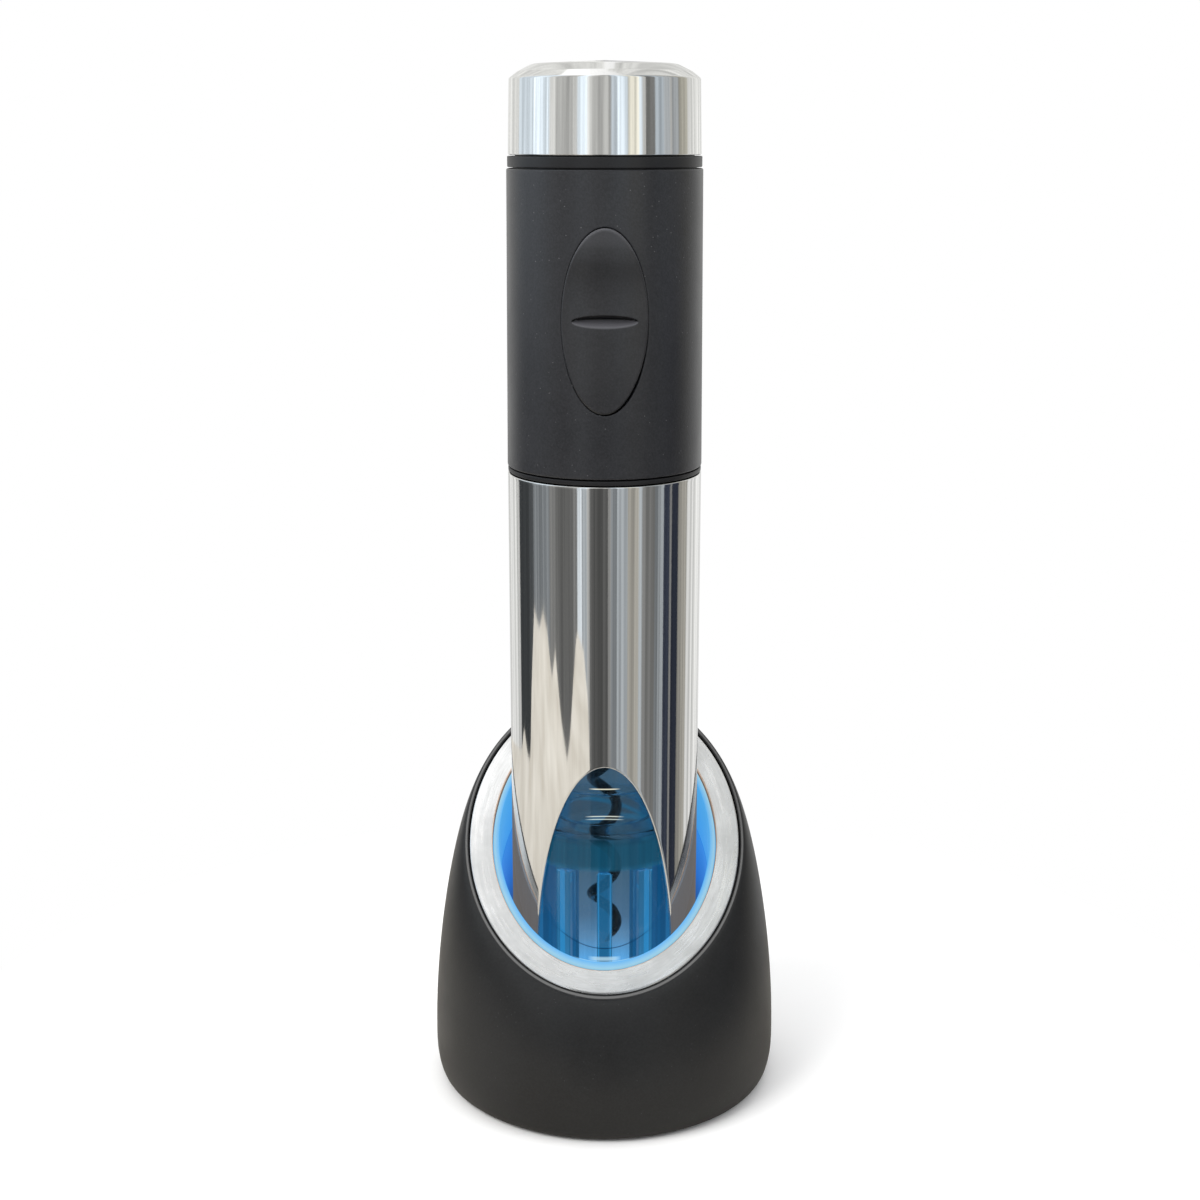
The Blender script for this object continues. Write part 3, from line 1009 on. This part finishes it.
def makeStand():
    k = standShape
    rearLip = k["rim"] + slantSlope * k["lipOuter"]
    curl = np.linspace(0, pi / 2, 14)[:-1]
    top = (k["jackZ"] + k["jackR"] - k["widestZ"]) / (rearLip - k["widestZ"])
    s = np.concatenate([np.linspace(0, top, 26), np.sin(np.linspace(np.arcsin(top), pi / 2, 70))[1:]])
    rows = 1 + len(curl)
    body = slice(rows, rows + len(s))
    zRear = np.concatenate([[k["foot"]], k["widestZ"] - (k["widestZ"] - k["foot"]) * np.cos(curl),
                            k["widestZ"] + s * (rearLip - k["widestZ"]), np.full(4, rearLip)])
    inHole = np.clip(1 - ((zRear - k["jackZ"]) / k["jackR"]) ** 2, 0, 1)
    backEdge = np.arcsin(k["jackR"] * np.sqrt(inHole) / k["widestR"])
    share = 1 - np.concatenate([[0, 0.002, 0.005, 0.01], np.linspace(0.016, 1, 110)])[::-1]

    def outside(angle):
        r = np.empty_like(angle)
        z = np.empty_like(angle)
        r[0], z[0] = k["plateR"], k["foot"]
        r[1:rows] = (k["footR"] + (k["widestR"] - k["footR"]) * np.sin(curl))[:, None]
        z[1:rows] = (k["widestZ"] - (k["widestZ"] - k["foot"]) * np.cos(curl))[:, None]
        r[body], z[body] = wallOf(angle[body], s[:, None], k["lipOuter"], k["widestR"], k["rim"])
        over = np.array([0.25, 0.5, 0.8, 1.0])[:, None]  # the lip's rounded top
        r[-4:] = k["lipOuter"] - (k["lipOuter"] - k["lipInner"]) * over
        z[-4:] = k["rim"] - slantSlope * r[-4:] * np.cos(angle[-4:]) + 0.12 * np.sin(pi * over)
        return r, z

    def inside(angle):
        r = np.empty_like(angle)
        z = np.empty_like(angle)
        r[:rows] = k["plateR"] + (k["widestR"] - k["wall"] - k["plateR"]) * np.linspace(0, 1, rows)[:, None]
        z[:rows] = k["ledgeZ"] + (k["widestZ"] - k["ledgeZ"]) * np.linspace(0, 1, rows)[:, None]
        z[0] = k["foot"] + 0.6
        rim = k["rim"] - k["lipDepth"]
        r[body], z[body] = wallOf(angle[body], s[:, None], k["lipInner"], k["widestR"] - k["wall"], rim)
        r[rows + len(s):] = k["lipInner"]
        lipZ = k["rim"] - slantSlope * k["lipInner"] * np.cos(angle[-4:])
        z[rows + len(s):] = lipZ - k["lipDepth"] * np.array([0.75, 0.5, 0.25, 0.08])[:, None]
        return r, z

    # towards the lip the wall widens sideways: x grows by the fourth power of how far up it is
    def widen(points):
        x, y, z = points.T
        lipZ = k["rim"] + slantSlope * k["lipOuter"] * y / np.hypot(x, y)
        climb = np.clip((z - k["widestZ"] * mm) / (lipZ - k["widestZ"]) / mm, 0, 1)
        return np.stack([x * (1 + sideWiden * climb ** 4), y, z], -1)

    piece = openWall("standHousing", 0 * backEdge, backEdge, share, outside, inside, 40, widen)
    settle(piece, "stand", "stand_shell")


ringShape = {"inner": 30.8, "outer": 36.0, "thick": 1.6, "soft": 0.3}
guideShape = {
    "inner": 28.9, "outer": 30.5, "depth": 13.0, "sunk": 0.1, "flange": 33.0, "flangeLow": 3.0,
    "flangeHigh": 1.8, "soft": 0.35,
}


# a rectangle turned round Z and slanted with the rim: z = height + slope * y
def makeTrimRing():
    t, rim = ringShape, standShape["rim"]
    profile = softCorners([
        (t["inner"], rim - t["thick"], 0.1, 1), (t["outer"], rim - t["thick"], 0.1, 1),
        (t["outer"], rim, t["soft"], 1), (t["inner"], rim, t["soft"], 1),
    ], closed=True)

    # x grows with how far out on the ring a point is
    def widen(points):
        out = (np.hypot(points[..., 0], points[..., 1]) / mm - t["inner"]) / (t["outer"] - t["inner"])
        return points * np.stack([1 + sideWiden * out, out * 0 + 1, out * 0 + 1], -1)

    settle(turned("rimRing", profile, 256, ring=True, sharpAngle=40, move=widen), "stand", "trim_ring")


# a tall thin section with a flange, turned round Z and slanted with the rim: z = height + slope * y
def makeLightRing():
    g, top = guideShape, rimZ - guideShape["sunk"]
    foot, below, above = rimZ - g["depth"], top - g["flangeLow"], top - g["flangeHigh"]
    profile = softCorners([
        (g["inner"], foot, 0.2, 1), (g["outer"], foot, 0.2, 1), (g["outer"], below, 0.1, 1),
        (g["flange"], below, 0.2, 1), (g["flange"], above, 0.2, 1), (g["outer"], above, 0.1, 1),
        (g["outer"], top, 0.2, 1), (g["inner"], top, g["soft"], 1),
    ], closed=True)
    settle(turned("lightGuide", profile, 256, ring=True, sharpAngle=40), "stand", "light_ring")


wellShape = {
    "seatR": 25.8, "under": 12, "floor": 14, "seat": 24.5, "shoulder": 28, "pinX": 23, "pinHole": 1.6,
    "holeFrom": 10, "holeTo": 16,
}


# a cup turned round Z, flat inside to its seat; its upper edge is slanted with the rim
def makeWell():
    w, g = wellShape, guideShape
    edge = standShape["rim"] - g["depth"] - 0.3
    profile = softCorners([
        (0, w["under"]), (g["outer"], w["under"], 0.5), (g["outer"], edge, 0.2, 1), (g["inner"], edge, 0.2, 1),
        (g["inner"], w["shoulder"], 0.8), (w["seatR"], w["seat"], 0.8), (w["seatR"], w["floor"], 0.8),
        (0, w["floor"]),
    ])
    cup = turned("wellCup", profile, 192, sharpAngle=40)
    pinHole = [(0, w["holeFrom"]), (w["pinHole"], w["holeFrom"]), (w["pinHole"], w["holeTo"]), (0, w["holeTo"])]

    def holeAt(side):
        return turned("pinHole", pinHole, 48, move=lambda p: p + [side * w["pinX"] * mm, 0, 0])

    drill(cup, holeAt(-1), holeAt(1))
    settle(cup, "stand", "well_cup")


footShape = {"r": 5, "bottom": 0, "top": 1.4, "soft": 0.6, "topSoft": 0.1}


# short cylinders with a rounded lower edge, each where its foot's box is
def makeFeet():
    f = footShape
    profile = softCorners([
        (0, f["bottom"]), (f["r"], f["bottom"], f["soft"]), (f["r"], f["top"], f["topSoft"]), (0, f["top"]),
    ])
    for number in range(4):
        node = f"foot_{number + 1}"
        low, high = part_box(node)
        shift = np.array([(low.x + high.x) / 2, (low.y + high.y) / 2, 0])
        settle(turned(f"rubberFoot{number + 1}", profile, 64, move=lambda p: p + shift), "stand", node)


makeStand()
makeTrimRing()
makeLightRing()
makeWell()
makeFeet()
print("stand made")


studio = {"cameraPlace": (-0.0012, -0.48694, 0.25619), "cameraPitch": 76.05, "lens": 56.196}


def makeStage(name, points, faces, material):
    piece = makePiece(name, points, faces)
    piece.data.materials.append(material)
    return piece


# Pale floor, which the camera sees fade to the white of the sweep behind from 9 to 20 cm out. Gloss
# sees it cloudy and darker.
def makeFloor():
    material = bpy.data.materials.new("paleFloor")
    material.use_nodes = True
    tree = material.node_tree
    shader = tree.nodes["Principled BSDF"]
    shader.inputs["Roughness"].default_value = 0.9
    shader.inputs["Specular IOR Level"].default_value = 0.1
    path, place = tree.nodes.new("ShaderNodeLightPath"), tree.nodes.new("ShaderNodeTexCoord")
    length, cloud = tree.nodes.new("ShaderNodeVectorMath"), tree.nodes.new("ShaderNodeGroup")
    length.operation = "LENGTH"
    cloud.node_tree = cloudGroup
    cloud.inputs["Stretch"].default_value = (9, 22, 1)
    cloud.inputs["Low"].default_value, cloud.inputs["High"].default_value = 0, 1
    wire(tree, (place.outputs["Object"], length.inputs[0]), (place.outputs["Object"], cloud.inputs["Vector"]))
    cloudy = mixNode(tree, cloud.outputs["Tone"], (0.44, 0.41, 0.36), (0.60, 0.575, 0.53))
    tone = mixNode(tree, path.outputs["Is Glossy Ray"], (0.93, 0.93, 0.93), cloudy)
    fade = spanNode(tree, length.outputs["Value"], 0.09, 0.20, 0, 1)
    onCamera = mathNode(tree, "MULTIPLY", fade, path.outputs["Is Camera Ray"])
    glow, blend = tree.nodes.new("ShaderNodeEmission"), tree.nodes.new("ShaderNodeMixShader")
    wire(tree, (tone, shader.inputs["Base Color"]), (onCamera, blend.inputs[0]),
         (shader.outputs[0], blend.inputs[1]), (glow.outputs[0], blend.inputs[2]),
         (blend.outputs[0], tree.nodes["Material Output"].inputs["Surface"]))
    r = np.array([0, 0.2, 0.6, 2, 6.0])
    a = np.arange(64) / 64 * 2 * pi
    points = np.stack([r * np.cos(a)[:, None], r * np.sin(a)[:, None], 0 * r * a[:, None]], -1)
    return makeStage("paleFloorDisc", points, gridFaces(64, 5, True), material)


# Upright cards round the object, seen only in its gloss. Each is: from and to, the angle that the gloss
# sends the view to, in degrees to the right; its tone low down and high up; and its tint.
cards = [
    (-180, -150, 0.72, 0.80, "plain"), (-150, -125, 0.83, 0.85, "plain"), (-125, -118, 0.60, 0.84, "plain"),
    (-118, -98, 0.055, 0.83, "cool"), (-98, -90, 0.09, 0.85, "cool"), (-90, -85, 0.32, 1.25, "cool"),
    (-85, -76, 0.23, 1.25, "cool"), (-76, -66, 0.28, 0.95, "cool"), (-66, -59, 0.25, 0.78, "plain"),
    (-59, -51, 0.19, 0.60, "plain"), (-51, -36, 0.145, 0.50, "plain"), (-36, -31, 0.22, 0.72, "plain"),
    (-31, -26, 0.85, 1.15, "cool"), (-26, -20, 0.53, 1.20, "cool"), (-20, -17, 0.44, 0.95, "plain"),
    (-17, -12, 0.17, 0.68, "plain"), (-12, 4, 0.105, 0.53, "plain"), (4, 7, 0.29, 0.32, "plain"),
    (7, 14, 0.27, 0.62, "cool"), (14, 26, 0.48, 1.10, "cool"), (26, 39, 0.41, 0.90, "warm"),
    (39, 43, 0.50, 0.90, "cool"), (43, 47, 0.28, 0.70, "plain"), (47, 59, 0.21, 0.21, "plain"),
    (59, 63, 0.22, 0.65, "cool"), (63, 67, 0.30, 0.50, "cool"), (67, 71, 0.52, 0.48, "cool"),
    (71, 80, 0.045, 0.54, "navy"), (80, 83, 0.26, 0.48, "plain"), (83, 94, 0.035, 0.42, "navy"),
    (94, 100, 0.31, 0.35, "warm"), (100, 111, 0.46, 0.54, "warm"), (111, 124, 0.70, 0.63, "plain"),
    (124, 150, 0.83, 0.85, "plain"), (150, 180, 0.72, 0.80, "plain"),
]
# how high the cards' lower edge stands at some of those angles
cardFeet = np.array([
    (-180, 0.001), (-118, 0.001), (-112, 0.012), (-104, 0.0), (-99, 0.0), (-96, 0.030), (-90, 0.066),
    (-82, 0.058), (-76, 0.066), (-70, 0.058), (-64, 0.038), (-59, 0.050), (-52, 0.022), (-47, 0.010),
    (-44, 0.004), (-40, 0.016), (-36, 0.040), (-32, 0.060), (-24, 0.052), (-19, 0.030), (-17, 0.001),
    (180, 0.001),
])
# each tint low down and high up
cardTints = {
    "plain": ((1, 1, 0.985), (1, 1, 0.975)), "cool": ((0.93, 1.0, 1.06), (0.88, 0.98, 1.07)),
    "warm": ((1.04, 1.0, 0.90), (1.06, 1.02, 0.88)), "navy": ((0.85, 1.0, 1.5), (0.95, 1.0, 1.04)),
}
cardRing = {
    "farR": 0.30, "nearR": 0.135, "nearFrom": -17, "farRise": (0.13, 0.23), "nearRise": (0.165, 0.235),
    "top": 0.80, "levels": np.array([0, 0.2, 0.4, 1]),
}


# a material that only glows, with its tree, its emission node and the place that patterns start from
def glowingMaterial(name):
    material = bpy.data.materials.new(name)
    material.use_nodes = True
    tree = material.node_tree
    tree.nodes.clear()
    glow, leave = tree.nodes.new("ShaderNodeEmission"), tree.nodes.new("ShaderNodeOutputMaterial")
    tree.links.new(glow.outputs[0], leave.inputs["Surface"])
    return material, tree, glow, tree.nodes.new("ShaderNodeTexCoord").outputs["Object"]


def cardMaterial(name, low, high, tint, rise):
    material, tree, glow, place = glowingMaterial(name)
    tone = tree.nodes.new("ShaderNodeGroup")
    tone.node_tree = cardGroup
    names = ("Foot", "Head", "Low", "High", "Low Tint", "High Tint")
    for socket, value in zip(names, (*rise, low, high, *tint)):
        feed(tree, value, tone.inputs[socket])
    wire(tree, (place, tone.inputs["Vector"]), (tone.outputs["Tint"], glow.inputs["Color"]),
         (tone.outputs["Strength"], glow.inputs["Strength"]))
    return material


def glossOnly(card):
    for ray in ("camera", "diffuse", "transmission", "volume_scatter", "shadow"):
        setattr(card, "visible_" + ray, False)


# where a card at radius r stands so that a polished wall 25 mm from the axis shows it at this angle
def standAngle(shown, r):
    lean = np.sin(np.radians(shown) / 2) * 0.0252
    return np.radians(shown) - np.arcsin(lean / r) + np.arcsin(lean / cardRing["farR"])


def makeCards():
    for number, (start, end, low, high, tint) in enumerate(cards):
        near = start >= cardRing["nearFrom"]
        r = cardRing["nearR"] if near else cardRing["farR"]
        shown = np.linspace(start, end, max(4, int((end - start) / 1.5)))
        a, foot = standAngle(shown, r)[:, None], np.interp(shown, *cardFeet.T)[:, None]
        z = foot + (cardRing["top"] - foot) * cardRing["levels"]
        points = np.stack(np.broadcast_arrays(r * np.sin(a), -r * np.cos(a), z), -1)
        rise = cardRing["nearRise"] if near else cardRing["farRise"]
        finish = cardMaterial(f"cardTone{number:02d}", low, high, cardTints[tint], rise)
        glossOnly(makeStage(f"glossCard{number:02d}", points, gridFaces(*points.shape[:2]), finish))


# a ceiling card, brighter to the left
def makeCeiling():
    material, tree, glow, place = glowingMaterial("ceilingTone")
    split = tree.nodes.new("ShaderNodeSeparateXYZ")
    wire(tree, (place, split.inputs[0]))
    wire(tree, (spanNode(tree, split.outputs["X"], -0.12, 0.12, 1.3, 0.9), glow.inputs["Strength"]))
    side, height = np.linspace(-1.2, 1.2, 5), 0.82
    points = np.stack(np.broadcast_arrays(side[:, None], side[None, :], height), -1)
    glossOnly(makeStage("ceilingCard", points, gridFaces(5, 5), material))


def makeLights():
    for name, place, aim, size, power, colour in (
        ("keySoftbox", (-0.75, -0.60, 0.95), (0, 0, 0.12), (0.7, 0.7), 12, (1, 0.99, 0.97)),
        ("fillSoftbox", (0.9, -0.4, 0.75), (0, 0, 0.12), (0.7, 0.9), 3, (0.97, 0.98, 1)),
        ("topSoftbox", (0, 0.25, 1.3), (0, 0, 0.1), (1.2, 1.2), 9, (1, 1, 1)),
    ):
        light = bpy.data.lights.new(name, "AREA")
        light.shape = "RECTANGLE"
        light.size, light.size_y = size
        light.energy = power
        light.color = colour
        holder = bpy.data.objects.new(name, light)
        bpy.context.scene.collection.objects.link(holder)
        holder.location = place
        holder.visible_glossy = False
        direction = np.array(aim) - np.array(place)
        holder.rotation_euler = Vector(direction).to_track_quat("-Z", "Y").to_euler()


def makeWorld():
    world = bpy.data.worlds.new("softStudio")
    bpy.context.scene.world = world
    world.use_nodes = True
    tree = world.node_tree
    back, path = tree.nodes["Background"], tree.nodes.new("ShaderNodeLightPath")
    tone = mixNode(tree, path.outputs["Is Camera Ray"], (0.62, 0.62, 0.62), (1, 1, 1))
    tree.links.new(tone, back.inputs["Color"])
    back.inputs["Strength"].default_value = 1.0


def makeCamera():
    lens = bpy.data.cameras.new("studioCamera")
    lens.lens, lens.sensor_width = studio["lens"], 36
    lens.clip_start = 0.01
    camera = bpy.data.objects.new("studioCamera", lens)
    bpy.context.scene.collection.objects.link(camera)
    camera.location = studio["cameraPlace"]
    camera.rotation_euler = (radians(studio["cameraPitch"]), 0, 0)
    bpy.context.scene.camera = camera


makeFloor()
makeCards()
makeCeiling()
makeLights()
makeWorld()
makeCamera()
bpy.context.scene.view_settings.view_transform = "Standard"
print("studio set")
